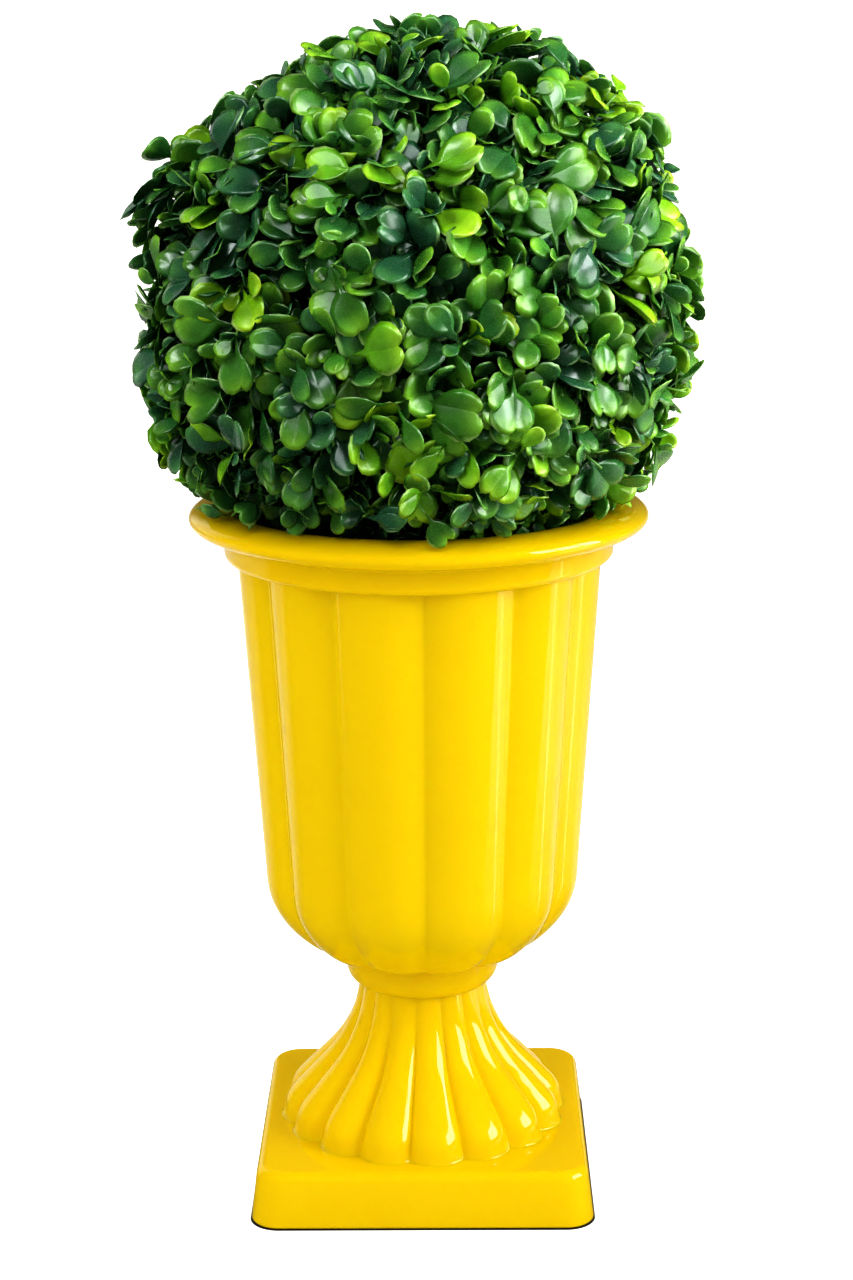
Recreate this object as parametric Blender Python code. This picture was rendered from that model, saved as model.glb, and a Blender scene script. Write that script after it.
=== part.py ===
"""A clipped ball of artificial box foliage in a fluted pedestal urn.

Everything is in metres, +Z up. The origin is the middle of the flat underside of the
square plinth. The front of the object faces -Y.

From the bottom up: plinth, fluted foot, collar, fluted bowl with its lip, the filling
of the bowl, a short stem planted in it, and the ball of foliage on that stem.
"""
import math
import random

import bmesh
import bpy
from mathutils import Matrix, Vector

# ---- Driving dimensions -------------------------------------------------------------

GAP = 0.0003                    # clearance between pieces that touch

PLINTH_SIDE = 0.2268            # side of the square underside
PLINTH_TOP_SIDE = 0.2214        # side of the top, before its edge is rounded
PLINTH_HEIGHT = 0.0368
PLINTH_CORNER = 0.019           # radius of the upright corners
PLINTH_EDGE = 0.006             # radius of the top edge

FOOT_LOBES = 16
FOOT_TURN = math.radians(-6.4)  # turn of the first valley from the front
FOOT_SEGMENTS = 4               # faces across one lobe
COLLAR_BOTTOM = 0.1326
COLLAR_TOP = 0.1505
COLLAR_NECK = 0.0435            # radius at the bottom, on the neck of the foot
COLLAR_SWELL = (0.0110, 0.0160) # how far it swells out, and over what height
COLLAR_LAND = 0.0006            # upright band at its top

BOWL_LOBES = 12
BOWL_TURN = math.radians(1.6)
BOWL_SEGMENTS = 4
BOWL_VALLEY = 0.932             # radius of a valley over the radius of a lobe's crown
WALL = 0.0032                   # thickness of the moulded wall
BOWL_FLOOR = 0.1600             # height of the inside of the floor
WALL_TOP = 0.4280               # height where the flutes end under the quarter round
WALL_TOP_RADIUS = 0.1212
WALL_LOW_RADIUS = 0.1083        # radius where the wall starts to curve in
WALL_LOW = 0.2240
LIP_HEIGHT = 0.4650             # highest point of the lip
LIP_MIDDLE = (0.1310, 0.4560)   # radius and height of the middle of the lip's section
LIP_HALF = (0.0193, 0.0090)     # half width and half height of that section
QUARTER_TOP = 0.4440            # the quarter round under the lip
QUARTER_TURN = 0.4335
QUARTER_RADIUS = 0.1278

FILL_TOP = 0.4000
STEM_TOP = 0.4240
STEM_RADIUS = 0.0100

BALL_MIDDLE = Vector((-0.0020, 0.0, 0.5870))
BALL_RADIUS = 0.1870            # out to the tips of the leaves
CORE_RADIUS = 0.1580
SPRAYS = 122                    # twigs that stand out of the core
SPRAY_SWAY = 0.06               # how far a twig strays from its even place
TWIG_RADIUS = 0.0022
TWIG_TAPER = 0.7
TWIG_ROOT = 0.0120              # how deep a twig is sunk in the core
TWIG_SHORT = (0.0140, 0.0240)   # how far its tip stays inside the clipped outline
LEAVES_PER_SPRAY = 3
LEAF_LENGTH = 0.0420
LEAF_WIDTH = 0.0310
LEAF_THICK = 0.0026
LEAF_WIDEST = 0.60              # share of the length where a leaf is widest
LEAF_STEP = 0.0045              # between the roots of two leaves on one twig
LEAF_LEAN = (48.0, 72.0)        # degrees between a leaf and its twig
LEAF_SIZE = (0.88, 1.12)        # smallest and largest, as a share of the usual size
CLEARANCE = 0.0020              # between a leaf and the urn
SEED = 11

# Where the clipped outline is a little fuller or flatter than a true ball:
# a direction, how far off the true ball it is there, and how far round that reaches.
UNEVEN = (
    (Vector((-0.66, -0.05, 0.75)), -0.045, 0.55),
    (Vector((0.48, -0.05, 0.88)), 0.040, 0.50),
    (Vector((-0.97, -0.10, 0.20)), 0.012, 0.40),
)

YELLOW = (0.900, 0.560, 0.004)
FILL_BROWN = (0.030, 0.022, 0.014)
STEM_BROWN = (0.060, 0.035, 0.018)
LEAF_GREEN = (0.035, 0.130, 0.030)


# ---- Scene and materials ------------------------------------------------------------

def clear_scene():
    for item in list(bpy.data.objects):
        bpy.data.objects.remove(item, do_unlink=True)


def make_material(name, colour, roughness):
    material = bpy.data.materials.new(name)
    material.use_nodes = True
    shader = material.node_tree.nodes["Principled BSDF"]
    shader.inputs["Base Color"].default_value = (*colour, 1.0)
    shader.inputs["Roughness"].default_value = roughness
    shader.inputs["Metallic"].default_value = 0.0
    return material


def finish_piece(bm, name, material, collection, crease=math.radians(40)):
    """Turn a bmesh into a named object with its faces pointing out."""
    bmesh.ops.recalc_face_normals(bm, faces=bm.faces)
    mesh = bpy.data.meshes.new(name)
    bm.to_mesh(mesh)
    bm.free()
    mesh.shade_smooth()
    mesh.set_sharp_from_angle(angle=crease)
    mesh.materials.append(material)
    piece = bpy.data.objects.new(name, mesh)
    collection.objects.link(piece)
    return piece


# ---- Turned and fluted forms --------------------------------------------------------

def lobe_factor(angle, count, turn, valley):
    """Radius of a ring of round lobes, as a share of its radius at their crowns.

    Each lobe is an arc of one circle. Its middle lies at share c of the way out and its
    radius is 1 - c, chosen so that neighbours meet at the share named valley.
    """
    if valley >= 1.0:
        return 1.0
    half = math.pi / count
    edge = math.cos(half)
    c = (1.0 - valley ** 2) / (2.0 * (1.0 - valley * edge))
    off = (angle - turn) % (2.0 * half) - half
    return c * math.cos(off) + math.sqrt((1.0 - c) ** 2 - (c * math.sin(off)) ** 2)


def set_ring(verts, level, count, turn):
    """Put a ring of vertices at one level: its height, radius and valley share."""
    height, radius, valley = level
    for vert in verts:
        angle = math.atan2(vert.co.y, vert.co.x)
        reach = radius * lobe_factor(angle, count, turn, valley)
        vert.co = (reach * math.cos(angle), reach * math.sin(angle), height)


def stack_rings(levels, count, segments, turn):
    """A closed body from a circle extruded from level to level, capped at both ends."""
    bm = bmesh.new()
    first_angle = turn - math.pi / 2.0
    spin = Matrix.Rotation(first_angle, 3, "Z")
    bmesh.ops.create_circle(bm, cap_ends=True, radius=1.0, segments=count * segments)
    bmesh.ops.rotate(bm, verts=bm.verts, matrix=spin)
    ring = list(bm.verts)
    edges = list(bm.edges)
    set_ring(ring, levels[0], count, first_angle)
    for level in levels[1:]:
        grown = bmesh.ops.extrude_edge_only(bm, edges=edges)["geom"]
        ring = [item for item in grown if isinstance(item, bmesh.types.BMVert)]
        edges = [item for item in grown if isinstance(item, bmesh.types.BMEdge)
                 and item.verts[0] in ring and item.verts[1] in ring]
        set_ring(ring, level, count, first_angle)
    bmesh.ops.contextual_create(bm, geom=edges)
    return bm


def arc(middle, half, start, end, steps):
    """Radius and height along part of an ellipse, with angles in degrees."""
    points = []
    for step in range(steps + 1):
        angle = math.radians(start + (end - start) * step / steps)
        points.append((middle[0] + half[0] * math.cos(angle),
                       middle[1] + half[1] * math.sin(angle)))
    return points


# ---- The urn ------------------------------------------------------------------------

def make_plinth(material, collection):
    bm = bmesh.new()
    bmesh.ops.create_cube(bm, size=1.0)
    bmesh.ops.scale(bm, vec=(PLINTH_SIDE, PLINTH_SIDE, PLINTH_HEIGHT), verts=bm.verts)
    bmesh.ops.translate(bm, vec=(0.0, 0.0, PLINTH_HEIGHT / 2.0), verts=bm.verts)
    top = [vert for vert in bm.verts if vert.co.z > PLINTH_HEIGHT / 2.0]
    draft = PLINTH_TOP_SIDE / PLINTH_SIDE
    bmesh.ops.scale(bm, vec=(draft, draft, 1.0), verts=top)
    upright = [edge for edge in bm.edges
               if abs(edge.verts[0].co.z - edge.verts[1].co.z) > PLINTH_HEIGHT / 2.0]
    bmesh.ops.bevel(bm, geom=upright, offset=PLINTH_CORNER, offset_type="OFFSET",
                    segments=6, profile=0.5, affect="EDGES")
    rim = [edge for edge in bm.edges
           if min(edge.verts[0].co.z, edge.verts[1].co.z) > PLINTH_HEIGHT - 1e-5]
    bmesh.ops.bevel(bm, geom=rim, offset=PLINTH_EDGE, offset_type="OFFSET",
                    segments=3, profile=0.5, affect="EDGES")
    return finish_piece(bm, "plinth", material, collection)


def foot_levels():
    """The foot from its bulbous toes on the plinth up to its narrow neck."""
    base = PLINTH_HEIGHT + GAP
    neck = COLLAR_BOTTOM - GAP
    return [
        (base, 0.0945, 0.950),
        (0.0400, 0.0957, 0.945),
        (0.0450, 0.0948, 0.935),
        (0.0500, 0.0922, 0.930),
        (0.0550, 0.0880, 0.925),
        (0.0620, 0.0820, 0.920),
        (0.0720, 0.0737, 0.920),
        (0.0820, 0.0652, 0.925),
        (0.0920, 0.0578, 0.930),
        (0.1020, 0.0520, 0.940),
        (0.1130, 0.0475, 0.950),
        (0.1230, 0.0448, 0.955),
        (neck, 0.0438, 0.955),
    ]


def make_foot(material, collection):
    bm = stack_rings(foot_levels(), FOOT_LOBES, FOOT_SEGMENTS, FOOT_TURN)
    return finish_piece(bm, "foot", material, collection)


def make_collar(material, collection):
    """A plain ring that swells from the neck to the underside of the bowl."""
    middle = (COLLAR_NECK, COLLAR_TOP - COLLAR_LAND)
    swell = arc(middle, COLLAR_SWELL, -85, 0, 5)
    profile = [(COLLAR_NECK, COLLAR_BOTTOM), *swell]
    profile.append((COLLAR_NECK + COLLAR_SWELL[0] - COLLAR_LAND, COLLAR_TOP))
    levels = [(height, radius, 1.0) for radius, height in profile]
    bm = stack_rings(levels, 40, 1, 0.0)
    return finish_piece(bm, "collar", material, collection)


def wall_radius(height):
    """Radius of the lobes' crowns on the gently tapering wall."""
    share = (height - WALL_LOW) / (WALL_TOP - WALL_LOW)
    return WALL_LOW_RADIUS + share * (WALL_TOP_RADIUS - WALL_LOW_RADIUS)


def bowl_outside():
    """The outside, from the underside on the collar up to the crest of the lip."""
    fluted = [
        (COLLAR_TOP + GAP, 0.0570),
        (0.1535, 0.0606),
        (0.1590, 0.0702),
        (0.1655, 0.0796),
        (0.1740, 0.0889),
        (0.1840, 0.0973),
        (0.1960, 0.1037),
        (0.2090, 0.1070),
        (WALL_LOW, WALL_LOW_RADIUS),
        (0.3260, wall_radius(0.3260)),
        (WALL_TOP, WALL_TOP_RADIUS),
    ]
    levels = [(height, radius, BOWL_VALLEY) for height, radius in fluted]
    reach = QUARTER_RADIUS - WALL_TOP_RADIUS
    drop = QUARTER_TURN - WALL_TOP - GAP
    quarter = arc((WALL_TOP_RADIUS, QUARTER_TURN), (reach, drop), -80, 0, 3)
    lip = arc(LIP_MIDDLE, LIP_HALF, -80, 90, 8)
    above = [*quarter, (QUARTER_RADIUS, QUARTER_TOP), *lip]
    levels += [(height, radius, 1.0) for radius, height in above]
    return levels


def bowl_inside():
    """The inside, from the crest of the lip down to the floor."""
    mouth = [
        (0.1245, 0.4625),
        (0.1190, 0.4560),
        (0.1160, 0.4460),
        (WALL_TOP_RADIUS - WALL, 0.4320),
    ]
    levels = [(height, radius, 1.0) for radius, height in mouth]
    fluted = [
        (0.4240, wall_radius(0.4240) - WALL),
        (FILL_TOP, wall_radius(FILL_TOP) - WALL),
        (WALL_LOW, WALL_LOW_RADIUS - WALL),
        (0.2060, 0.1030),
        (0.1920, 0.0984),
        (0.1800, 0.0902),
        (0.1700, 0.0796),
        (0.1640, 0.0700),
        (BOWL_FLOOR, 0.0610),
    ]
    levels += [(height, radius, BOWL_VALLEY) for height, radius in fluted]
    return levels


def make_bowl(material, collection):
    levels = bowl_outside() + bowl_inside()
    bm = stack_rings(levels, BOWL_LOBES, BOWL_SEGMENTS, BOWL_TURN)
    return finish_piece(bm, "bowl", material, collection)


def make_fill(material, collection):
    """The filling follows the inside of the bowl, a gap away from it all over."""
    inside = [level for level in bowl_inside() if level[0] <= FILL_TOP]
    levels = []
    for height, radius, valley in reversed(inside):
        lift = 0.0 if height == FILL_TOP else 2.0 * GAP
        levels.append((height + lift, radius - 2.0 * GAP, valley))
    bm = stack_rings(levels, BOWL_LOBES, BOWL_SEGMENTS, BOWL_TURN)
    return finish_piece(bm, "pot_fill", material, collection)


def make_stem(material, collection):
    """The short stem, planted in the filling under the ball and slightly tapered."""
    height = STEM_TOP - FILL_TOP - GAP
    bm = bmesh.new()
    bmesh.ops.create_cone(bm, cap_ends=True, segments=16, radius1=STEM_RADIUS * 1.2,
                          radius2=STEM_RADIUS, depth=height)
    place = (BALL_MIDDLE.x, BALL_MIDDLE.y, FILL_TOP + GAP + height / 2.0)
    bmesh.ops.translate(bm, vec=place, verts=bm.verts)
    return finish_piece(bm, "stem", material, collection)


# ---- The ball of foliage ------------------------------------------------------------

def ball_reach(direction):
    """Distance from the ball's middle to its clipped outline in one direction."""
    reach = 1.0
    for middle, amount, spread in UNEVEN:
        off = direction.angle(middle)
        reach += amount * math.exp(-((off / spread) ** 2))
    return BALL_RADIUS * reach


def clear_of_urn(point):
    """Whether a point keeps clear of the lip, the mouth, the filling and the stem."""
    out = math.hypot(point.x, point.y)
    if point.z < FILL_TOP + CLEARANCE:
        return False
    from_stem = math.hypot(point.x - BALL_MIDDLE.x, point.y - BALL_MIDDLE.y)
    if point.z < STEM_TOP + CLEARANCE and from_stem < 2.0 * STEM_RADIUS:
        return False
    if point.z < LIP_MIDDLE[1]:
        return out < WALL_TOP_RADIUS - WALL - 2.0 * CLEARANCE
    across = (out - LIP_MIDDLE[0]) / (LIP_HALF[0] + CLEARANCE)
    up = (point.z - LIP_MIDDLE[1]) / (LIP_HALF[1] + CLEARANCE)
    return across ** 2 + up ** 2 > 1.0


def spread_directions(count):
    """Directions spaced evenly over a ball, in a spiral from its top to its bottom."""
    golden = math.pi * (3.0 - math.sqrt(5.0))
    for step in range(count):
        z = 1.0 - (2.0 * step + 1.0) / count
        flat = math.sqrt(1.0 - z * z)
        angle = golden * step
        yield Vector((flat * math.cos(angle), flat * math.sin(angle), z))


def add_twig(bm, root, tip, radius):
    """A three-sided twig from root to tip."""
    along = tip - root
    turn = along.to_track_quat("Z", "Y").to_matrix().to_4x4()
    place = Matrix.Translation((root + tip) / 2.0) @ turn
    bmesh.ops.create_cone(bm, cap_ends=True, segments=3, radius1=radius,
                          radius2=radius * TWIG_TAPER, depth=along.length, matrix=place)


def leaf_points(root, along, face, scale):
    """The six corners of a leaf: root, tip, two sides, and its upper and lower face."""
    side = along.cross(face).normalized()
    face = side.cross(along).normalized()
    length = LEAF_LENGTH * scale
    wide = root + along * (length * LEAF_WIDEST)
    half = side * (LEAF_WIDTH * scale / 2.0)
    thick = face * (LEAF_THICK / 2.0)
    return [root, root + along * length, wide - half, wide + half, wide + thick,
            wide - thick]


def leaf_is_clear(points):
    """Whether a leaf's corners, and points along its middle, keep clear of the rest."""
    root, tip = points[0], points[1]
    along = [root.lerp(tip, step / 6.0) for step in range(7)]
    return all(clear_of_urn(point) for point in [*points, *along])


def add_leaf(bm, points):
    """A leaf of eight faces: the hull of its six corners."""
    corners = [bm.verts.new(point) for point in points]
    bmesh.ops.convex_hull(bm, input=corners)


def spray_leaves(random_draw, tip, out):
    """Corner points of the leaves that open round the tip of one twig."""
    side = out.orthogonal().normalized()
    side.rotate(Matrix.Rotation(random_draw.uniform(0.0, math.tau), 3, out))
    leaves = []
    for number in range(LEAVES_PER_SPRAY):
        lean = math.radians(random_draw.uniform(*LEAF_LEAN))
        around = math.tau * number / LEAVES_PER_SPRAY + random_draw.uniform(-0.3, 0.3)
        away = side.copy()
        away.rotate(Matrix.Rotation(around, 3, out))
        along = (out * math.cos(lean) + away * math.sin(lean)).normalized()
        face = (out * math.sin(lean) - away * math.cos(lean)).normalized()
        face.rotate(Matrix.Rotation(random_draw.uniform(-0.5, 0.5), 3, along))
        scale = random_draw.uniform(*LEAF_SIZE)
        root = tip - out * (LEAF_STEP * (number + 0.6))
        leaves.append(leaf_points(root, along, face, scale))
    return leaves


def mesh_object(bm, name, collection):
    bmesh.ops.recalc_face_normals(bm, faces=bm.faces)
    mesh = bpy.data.meshes.new(name)
    bm.to_mesh(mesh)
    bm.free()
    piece = bpy.data.objects.new(name, mesh)
    collection.objects.link(piece)
    return piece


def make_core(collection):
    """The solid middle of the ball, with the stub of stem that its sprays spring from."""
    bm = bmesh.new()
    bmesh.ops.create_uvsphere(bm, u_segments=26, v_segments=15, radius=CORE_RADIUS,
                              matrix=Matrix.Translation(BALL_MIDDLE))
    core = mesh_object(bm, "core", collection)
    bm = bmesh.new()
    low = STEM_TOP + GAP
    high = BALL_MIDDLE.z - CORE_RADIUS * 0.8
    place = Matrix.Translation((BALL_MIDDLE.x, BALL_MIDDLE.y, (low + high) / 2.0))
    bmesh.ops.create_cone(bm, cap_ends=True, segments=12, radius1=STEM_RADIUS,
                          radius2=STEM_RADIUS, depth=high - low, matrix=place)
    mesh_object(bm, "stub", collection)
    return core


def make_sprays(collection):
    """Every spray as its own closed bodies: a twig out of the core and its leaves."""
    random_draw = random.Random(SEED)
    sprays = 0
    leaves_made = 0
    for direction in spread_directions(SPRAYS):
        sway = Vector((random_draw.uniform(-1, 1), random_draw.uniform(-1, 1),
                       random_draw.uniform(-1, 1)))
        out = (direction + sway * SPRAY_SWAY).normalized()
        tip = BALL_MIDDLE + out * (ball_reach(out) - random_draw.uniform(*TWIG_SHORT))
        root = BALL_MIDDLE + out * (CORE_RADIUS - TWIG_ROOT)
        wanted = spray_leaves(random_draw, tip, out)
        kept = [points for points in wanted if leaf_is_clear(points)]
        if not kept or not clear_of_urn(tip):
            continue
        bm = bmesh.new()
        add_twig(bm, root, tip, TWIG_RADIUS)
        mesh_object(bm, "twig", collection)
        for points in kept:
            bm = bmesh.new()
            add_leaf(bm, points)
            mesh_object(bm, "leaf", collection)
        sprays += 1
        leaves_made += len(kept)
    print("sprays", sprays, "leaves", leaves_made)


def largest_body(piece):
    """Keep only the largest connected body of a mesh, dropping loose scraps."""
    bm = bmesh.new()
    bm.from_mesh(piece.data)
    left = set(bm.verts)
    bodies = []
    while left:
        todo = [left.pop()]
        body = set(todo)
        while todo:
            for edge in todo.pop().link_edges:
                for vert in edge.verts:
                    if vert in left:
                        left.remove(vert)
                        body.add(vert)
                        todo.append(vert)
        bodies.append(body)
    bodies.sort(key=len, reverse=True)
    loose = [vert for body in bodies[1:] for vert in body]
    bmesh.ops.delete(bm, geom=loose, context="VERTS")
    bm.to_mesh(piece.data)
    bm.free()
    print("bodies dropped", len(bodies) - 1)


def make_ball(material, collection):
    """Fuse the core, its stub of stem, the twigs and the leaves into one mass."""
    loose = bpy.data.collections.new("foliage_pieces")
    bpy.context.scene.collection.children.link(loose)
    core = make_core(loose)
    make_sprays(loose)
    loose.objects.unlink(core)
    collection.objects.link(core)
    union = core.modifiers.new("join", "BOOLEAN")
    union.operation = "UNION"
    union.solver = "MANIFOLD"
    union.operand_type = "COLLECTION"
    union.collection = loose
    joined = bpy.data.meshes.new_from_object(
        core.evaluated_get(bpy.context.evaluated_depsgraph_get()))
    bpy.data.objects.remove(core)
    for item in list(loose.objects):
        bpy.data.objects.remove(item)
    bpy.data.collections.remove(loose)
    joined.name = "foliage_ball"
    ball = bpy.data.objects.new("foliage_ball", joined)
    collection.objects.link(ball)
    largest_body(ball)
    joined.materials.clear()
    joined.materials.append(material)
    print("ball faces", len(joined.polygons))
    return ball


def main():
    clear_scene()
    collection = bpy.data.collections.new("ball_topiary")
    bpy.context.scene.collection.children.link(collection)
    yellow = make_material("yellow_plastic", YELLOW, 0.15)
    make_plinth(yellow, collection)
    make_foot(yellow, collection)
    make_collar(yellow, collection)
    make_bowl(yellow, collection)
    make_fill(make_material("filling", FILL_BROWN, 0.9), collection)
    make_stem(make_material("stem_bark", STEM_BROWN, 0.7), collection)
    make_ball(make_material("foliage", LEAF_GREEN, 0.45), collection)


main()
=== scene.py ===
# %% [markdown]
# # A clipped ball of artificial box in a yellow pedestal urn
#
# The solids of this object are already made. They come in as a frame of named nodes, in
# metres, +Z up, with the front of the object towards -Y. Every cell below makes one piece
# or one finish around them: first the camera and the studio, then the urn from the bottom
# up, and last the ball, leaf by leaf.

import math
import random

import bmesh
import bpy
import numpy as np
from mathutils import Matrix, Vector, noise


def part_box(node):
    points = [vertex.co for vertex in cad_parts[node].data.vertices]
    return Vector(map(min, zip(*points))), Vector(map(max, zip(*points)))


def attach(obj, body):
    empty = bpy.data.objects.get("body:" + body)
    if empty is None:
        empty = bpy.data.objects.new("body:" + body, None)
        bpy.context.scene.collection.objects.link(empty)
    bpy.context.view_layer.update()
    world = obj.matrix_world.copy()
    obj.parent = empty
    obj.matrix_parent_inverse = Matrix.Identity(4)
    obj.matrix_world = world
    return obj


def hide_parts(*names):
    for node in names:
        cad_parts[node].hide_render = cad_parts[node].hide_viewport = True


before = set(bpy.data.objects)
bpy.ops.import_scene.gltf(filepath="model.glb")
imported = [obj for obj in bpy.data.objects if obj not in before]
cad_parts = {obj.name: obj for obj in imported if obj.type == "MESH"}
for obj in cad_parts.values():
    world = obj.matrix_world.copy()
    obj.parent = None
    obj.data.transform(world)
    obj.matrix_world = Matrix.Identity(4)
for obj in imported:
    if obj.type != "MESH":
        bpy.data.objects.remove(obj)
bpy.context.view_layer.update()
print("nodes", sorted(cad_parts))

# %% [markdown]
# ## The camera
# The eye is a little above the ball and looks down on it, through a long lens that keeps
# the square plinth nearly square. The camera is placed by a matrix: a turn about X tips it
# down from level, and a small turn about its own viewing axis levels the rim of the urn.

# %% Camera
EYE = Vector((0.0045, -1.750, 0.808))
LOOK_DOWN = math.radians(14.05)
ROLL = math.radians(-0.44)
SENSOR = 36.0
LENS = 76.5
NEAREST = 0.05
FARTHEST = 200.0

scene = bpy.context.scene


def new_object(name, data):
    made = bpy.data.objects.new(name, data)
    scene.collection.objects.link(made)
    return made


lens = bpy.data.cameras.new("studio_camera")
lens.sensor_fit = "VERTICAL"
lens.sensor_height = SENSOR
lens.sensor_width = SENSOR
lens.lens = LENS
lens.clip_start = NEAREST
lens.clip_end = FARTHEST
tip = Matrix.Rotation(math.pi / 2.0 - LOOK_DOWN, 4, "X")
scene.camera = new_object("studio_camera", lens)
scene.camera.matrix_world = Matrix.Translation(EYE) @ tip @ Matrix.Rotation(ROLL, 4, "Z")
scene.view_settings.view_transform = "Standard"
scene.view_settings.look = "High Contrast"
print("camera at", tuple(EYE))

# %% [markdown]
# ## Shader helpers
# A finish is a tree of small nodes, and the same few steps come back in all of them. Each
# is written once here. Where a helper takes a value, that is a number or the output of
# another node, so the finishes below read as short recipes.

# %% Shader helpers
WHITE = (1.0, 1.0, 1.0, 1.0)


def grey(value):
    return (value, value, value, 1.0)


def plug(socket, value):
    """Feed a socket from another one, or set it to a plain value."""
    if isinstance(value, bpy.types.NodeSocket):
        socket.id_data.links.new(value, socket)
    else:
        socket.default_value = value


def plug_in_order(made, *values):
    for socket, value in zip(made.inputs, values):
        plug(socket, value)
    return made


def feed(made, **values):
    """Plug values into the inputs of a node by name, with an underscore for a space."""
    for key, value in values.items():
        plug(made.inputs[key.replace("_", " ")], value)
    return made


def node(tree, kind, **values):
    return feed(tree.nodes.new(kind), **values)


def node_math(tree, operation, first, second=0.0):
    made = tree.nodes.new("ShaderNodeMath")
    made.operation = operation
    return plug_in_order(made, first, second).outputs["Value"]


def spread(tree, source, start, end, low=0.0, high=1.0):
    """A value that runs from low to high while source runs from start to end."""
    made = tree.nodes.new("ShaderNodeMapRange")
    return plug_in_order(made, source, start, end, low, high).outputs["Result"]


def split_axes(tree, source):
    return node(tree, "ShaderNodeSeparateXYZ", Vector=source).outputs


def mix_colours(tree, share, first, second, blend="MIX"):
    made = tree.nodes.new("ShaderNodeMix")
    made.data_type = "RGBA"
    made.blend_type = blend
    for number, value in ((0, share), (6, first), (7, second)):
        plug(made.inputs[number], value)
    return made.outputs[2]


def ramp(tree, source, low, high, start=0.0, end=1.0):
    """Two colours with source running from start to end between them."""
    made = node(tree, "ShaderNodeValToRGB", Fac=source)
    first, last = made.color_ramp.elements
    first.position, last.position = start, end
    first.color, last.color = low, high
    return made.outputs["Color"]


def object_noise(tree, stretch=None, **values):
    """Noise on the object's own coordinates, drawn out along an axis where asked for."""
    place = tree.nodes.new("ShaderNodeTexCoord").outputs["Object"]
    if stretch:
        place = node(tree, "ShaderNodeMapping", Vector=place, Scale=stretch).outputs[0]
    return node(tree, "ShaderNodeTexNoise", Vector=place, **values).outputs["Fac"]


def bump(tree, height, strength, distance):
    return node(tree, "ShaderNodeBump", Height=height, Strength=strength,
                Distance=distance).outputs["Normal"]


def new_material(name):
    material = bpy.data.materials.new(name)
    material.use_nodes = True
    tree = material.node_tree
    return material, tree, tree.nodes["Principled BSDF"]


# %% [markdown]
# ## The studio
# Glossy plastic shows what stands round it, and matt light comes from everywhere. So the
# surroundings give plenty of soft light, a little warm, which turns the shade of the
# yellow to orange, and in the reflections they are dim, but for a white flat behind the
# object at the left. The plastic also shows a window of three panes, the bright squares
# on the toes of the foot. The panels give light and aren't seen. The strongest stands at
# the right, so that every flute runs from shade to light, and a weaker one behind keeps
# the back from going dull. The lamps and the wide sky light the leaves alone, as a studio
# does it with flags; the sky is there for their satin sheen.

# %% Lights and surroundings
SURROUND_SOFT = 0.42
SURROUND_WARM = (1.0, 0.935, 0.86, 1.0)
SURROUND_SHOWN = 0.08
FLAT_SHOWN = 0.80
FLAT_BEHIND = (0.35, 0.60)      # where the flat begins, as a share of straight behind
FLAT_ASIDE = (0.30, 0.44)       # how far from the middle line it ends


def make_world():
    scene.world = bpy.data.worlds.new("studio")
    scene.world.use_nodes = True
    tree = scene.world.node_tree
    tree.nodes.clear()
    path = tree.nodes.new("ShaderNodeLightPath")
    way = split_axes(tree, tree.nodes.new("ShaderNodeTexCoord").outputs["Generated"])
    flat = spread(tree, way["Y"], *FLAT_BEHIND, SURROUND_SHOWN, FLAT_SHOWN)
    left = node_math(tree, "MULTIPLY", way["X"], -1.0)
    shown = spread(tree, left, *FLAT_ASIDE, SURROUND_SHOWN, flat)
    made = None
    for ray, colour, strength in ((None, SURROUND_WARM, SURROUND_SOFT),
                                  ("Is Glossy Ray", WHITE, shown),
                                  ("Is Camera Ray", WHITE, 1.0)):
        other = node(tree, "ShaderNodeBackground", Color=colour, Strength=strength)
        if ray:
            other = plug_in_order(tree.nodes.new("ShaderNodeMixShader"), path.outputs[ray],
                                  made.outputs[0], other.outputs[0])
        made = other
    node(tree, "ShaderNodeOutputWorld", Surface=made.outputs[0])


def round_the_object(azimuth, distance, height):
    """A place seen from the object; azimuth 0 is the front, 90 degrees the right."""
    angle = math.radians(azimuth)
    return Vector((distance * math.sin(angle), -distance * math.cos(angle), height))


def add_panel(name, place, aim, width, height, glow, colour=WHITE):
    """A soft light panel at place that faces aim; glow is its own brightness."""
    data = bpy.data.lights.new(name, "AREA")
    data.shape = "RECTANGLE"
    data.size = width
    data.size_y = height
    data.energy = glow * math.pi * width * height
    data.color = colour[:3]
    panel = new_object(name, data)
    facing = (Vector(aim) - place).to_track_quat("-Z", "Y")
    panel.matrix_world = Matrix.Translation(place) @ facing.to_matrix().to_4x4()
    panel.visible_camera = False
    return panel


make_world()

# %% Window
PANE = (0.34, 0.90)
PANE_STEP = 0.39
PANE_GLOW = 8.0
WINDOW = (75.0, 1.50, 0.82)     # azimuth, distance and height of its middle

for pane in (-1, 0, 1):
    middle = round_the_object(*WINDOW)
    inward = Vector((-middle.x, -middle.y, 0.0)).normalized()
    place = middle + inward.cross(Vector((0.0, 0.0, 1.0))) * PANE_STEP * pane
    window = add_panel("window_pane_%d" % (pane + 1), place, place + inward, *PANE,
                       PANE_GLOW)
    window.visible_diffuse = False

# %% Panels and lamps
COOL = (0.93, 0.97, 1.0, 1.0)
BALL_AIM = (0.0, 0.0, 0.58)
URN_AIM = (0.0, 0.0, 0.35)

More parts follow.
